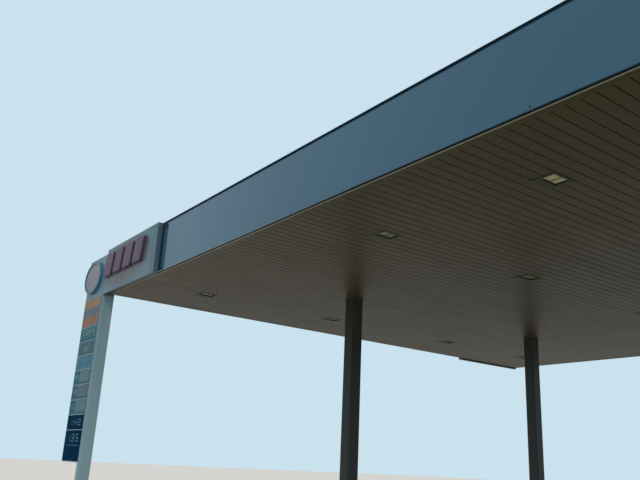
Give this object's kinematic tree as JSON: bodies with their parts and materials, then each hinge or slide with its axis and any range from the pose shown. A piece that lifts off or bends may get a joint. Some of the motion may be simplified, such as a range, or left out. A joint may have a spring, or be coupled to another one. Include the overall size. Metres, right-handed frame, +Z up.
{
  "type": "filling station canopy",
  "caption": "Flat steel canopy on square columns over filling lanes, with glossy fascia, slatted soffit, recessed lights, corner sign boxes and a price pylon.",
  "frame": {"origin": "underside of the front left column's base plate, at the column's centre, at ground level", "axes": "+Z up, +X along the front fascia to the right, +Y from the front fascia to the back"},
  "size_m": [16.9419, 12.772, 5.482],
  "materials": {
    "column_paint": "dark grey-green gloss paint",
    "frame_paint": "grey shop primer",
    "galvanised": "galvanised",
    "deck_coating": "pale grey coil coating",
    "fascia_coating": "glossy pale blue-white coating",
    "coping_paint": "near-black blue coating",
    "soffit_coating": "off-white semi-gloss coil coating",
    "light_frame": "dark paint",
    "light_housing": "white enamel",
    "light_lens": "clear prismatic glass",
    "sign_coating": "satin grey-white coating",
    "sign_spacer": "dark paint",
    "sign_bar": "dull red moulded plastic",
    "pylon_coating": "satin pale grey coating",
    "price_panel": "blue printed panels",
    "disc_rim": "blue moulded plastic",
    "disc_face": "pale moulded plastic"
  },
  "bodies": {
    "root": {"column_front_left": "column_paint", "column_back_left": "column_paint", "column_front_right": "column_paint", "column_back_right": "column_paint", "base_plates": "column_paint", "head_plates": "frame_paint", "main_beam_left": "frame_paint", "main_beam_right": "frame_paint", "purlins": "frame_paint", "edge_beam_front": "frame_paint", "edge_beam_right": "frame_paint", "edge_beam_back": "frame_paint", "edge_beam_left": "frame_paint", "fascia_posts": "galvanised", "fascia_front": "fascia_coating", "fascia_right": "fascia_coating", "fascia_back": "fascia_coating", "fascia_left": "fascia_coating", "coping_front": "coping_paint", "coping_right": "coping_paint", "coping_back": "coping_paint", "coping_left": "coping_paint", "parapet_flashing_front_back": "galvanised", "parapet_flashing_left_right": "galvanised", "gutter_front": "galvanised", "gutter_back": "galvanised", "roof_deck": "deck_coating", "soffit_border_front_back": "soffit_coating", "soffit_border_left_right": "soffit_coating", "soffit_bay_1": "soffit_coating", "soffit_bay_2": "soffit_coating", "soffit_bay_3": "soffit_coating", "soffit_rails": "galvanised", "soffit_hangers": "galvanised", "downlight_frames": "light_frame", "downlight_housings": "light_housing", "downlight_lenses": "light_lens", "sign_box_front": "sign_coating", "sign_box_left": "sign_coating", "sign_spacers": "sign_spacer", "sign_bars_front": "sign_bar", "sign_bars_left": "sign_bar", "pylon_body": "pylon_coating", "pylon_base_plate": "pylon_coating", "price_panels": "price_panel", "disc_rim": "disc_rim", "disc_face": "disc_face"}
  },
  "joints": []
}
